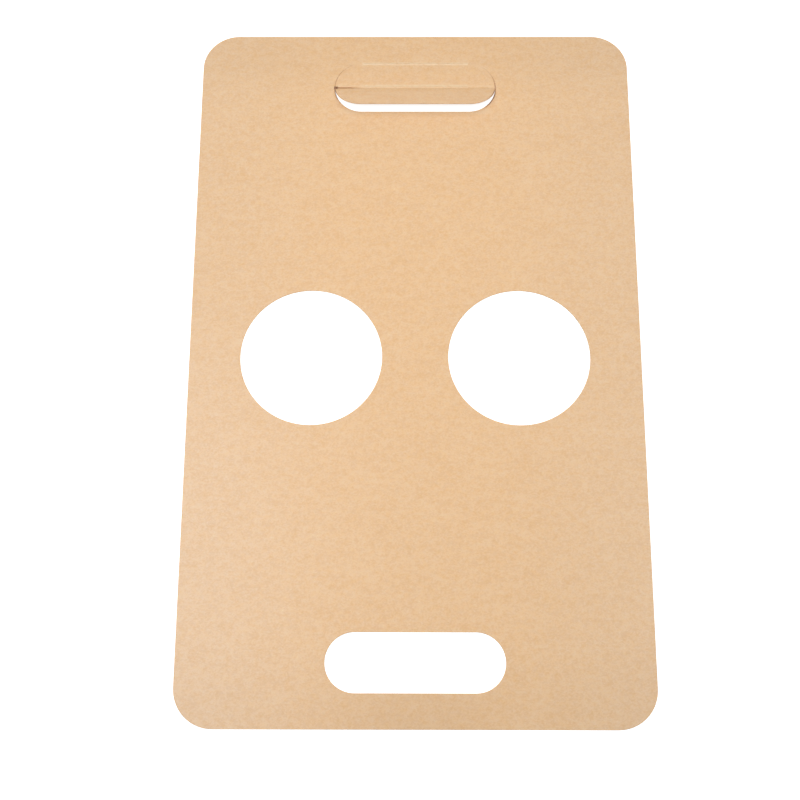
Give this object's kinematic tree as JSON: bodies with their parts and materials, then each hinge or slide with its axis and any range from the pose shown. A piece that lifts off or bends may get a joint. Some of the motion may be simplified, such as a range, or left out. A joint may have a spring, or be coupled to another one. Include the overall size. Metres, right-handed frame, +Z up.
{
  "type": "cardboard cup carrier",
  "caption": "Flat die-cut kraft board carrier for drinks cups, with round cup holes across its middle and a hand slot near each end, the far slot still filled by its creased flap.",
  "frame": {"origin": "middle of the sheet's underside, which lies on the surface", "axes": "+X across the sheet, +Y along it towards the end with the flap, +Z up out of its upper face"},
  "size_m": [0.239, 0.385, 0.0068],
  "materials": {
    "kraft_board": "matte"
  },
  "bodies": {
    "root": {"carrier_board": "kraft_board"}
  },
  "joints": []
}
